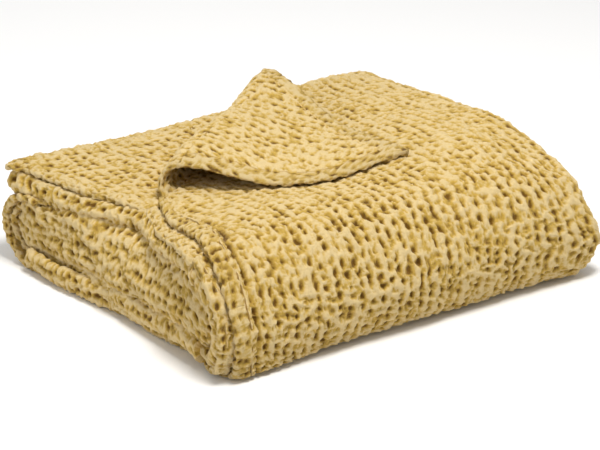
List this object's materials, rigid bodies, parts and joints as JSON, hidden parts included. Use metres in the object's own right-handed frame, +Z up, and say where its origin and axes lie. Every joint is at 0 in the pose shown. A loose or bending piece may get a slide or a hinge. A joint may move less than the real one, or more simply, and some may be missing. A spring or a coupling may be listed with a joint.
{
  "type": "folded throw blanket",
  "caption": "Mustard honeycomb-weave throw blanket, hemmed, folded into a flat bundle with one top corner turned back.",
  "frame": {"origin": "middle of the bounding box, on the table", "axes": "+X along the folds from the hemmed end to the ply folds, +Y from the near fold to the rear fold, +Z up"},
  "size_m": [0.4237, 0.3716, 0.1377],
  "materials": {
    "woven_cloth": "matte",
    "hem_band": "matte",
    "hem_thread": "matte"
  },
  "bodies": {
    "root": {"bottom_lap_inner_leaf": "woven_cloth", "bottom_lap_outer_leaf": "woven_cloth", "bottom_lap_side_hem": "hem_band", "inner_fold_inner_leaf": "woven_cloth", "inner_fold_outer_leaf": "woven_cloth", "inner_fold_side_hem": "hem_band", "lower_inner_lap_inner_leaf": "woven_cloth", "lower_inner_lap_outer_leaf": "woven_cloth", "lower_inner_lap_side_hem": "hem_band", "near_fold_foot_inner_leaf": "woven_cloth", "near_fold_foot_outer_leaf": "woven_cloth", "near_fold_foot_side_hem": "hem_band", "rear_fold_inner_leaf": "woven_cloth", "rear_fold_outer_leaf": "woven_cloth", "rear_fold_side_hem": "hem_band", "upper_inner_lap_inner_leaf": "woven_cloth", "upper_inner_lap_outer_leaf": "woven_cloth", "upper_inner_lap_side_hem": "hem_band"},
    "fold_link_lower": {"near_fold_lower_inner_leaf": "woven_cloth", "near_fold_lower_outer_leaf": "woven_cloth", "near_fold_lower_side_hem": "hem_band"},
    "fold_link_upper": {"near_fold_upper_inner_leaf": "woven_cloth", "near_fold_upper_outer_leaf": "woven_cloth", "near_fold_upper_side_hem": "hem_band"},
    "top_lap": {"corner_loop_lower": "woven_cloth", "near_fold_head_inner_leaf": "woven_cloth", "near_fold_head_outer_leaf": "woven_cloth", "near_fold_head_side_hem": "hem_band", "top_end_hem": "hem_band", "top_lap_inner_leaf": "woven_cloth", "top_lap_under_leaf": "woven_cloth", "top_ply": "woven_cloth", "top_side_hem": "hem_band"},
    "turned_corner": {"corner_flap": "woven_cloth", "corner_side_hem": "hem_band", "corner_end_hem": "hem_band", "corner_loop_upper": "woven_cloth"}
  },
  "joints": [
    {"name": "lap_unfold", "type": "hinge", "parent": "root", "child": "fold_link_lower", "pos_m": [0, -0.158, 0.0075], "axis": [1, 0, 0], "range_deg": [0, 57]},
    {"name": "lap_unfold_middle", "type": "hinge", "parent": "fold_link_lower", "child": "fold_link_upper", "pos_m": [0, -0.186, 0.056], "axis": [1, 0, 0], "range_deg": [0, 57]},
    {"name": "lap_unfold_top", "type": "hinge", "parent": "fold_link_upper", "child": "top_lap", "pos_m": [0, -0.158, 0.1045], "axis": [1, 0, 0], "range_deg": [0, 57]},
    {"name": "corner_turn", "type": "hinge", "parent": "top_lap", "child": "turned_corner", "pos_m": [-0.1609, 0.02389, 0.1215], "axis": [-0.8422, -0.5392, 0], "range_deg": [0, 180]}
  ],
  "couplings": [
    {"joint": "lap_unfold_middle", "follows": "lap_unfold", "ratio": 1},
    {"joint": "lap_unfold_top", "follows": "lap_unfold", "ratio": 1}
  ]
}
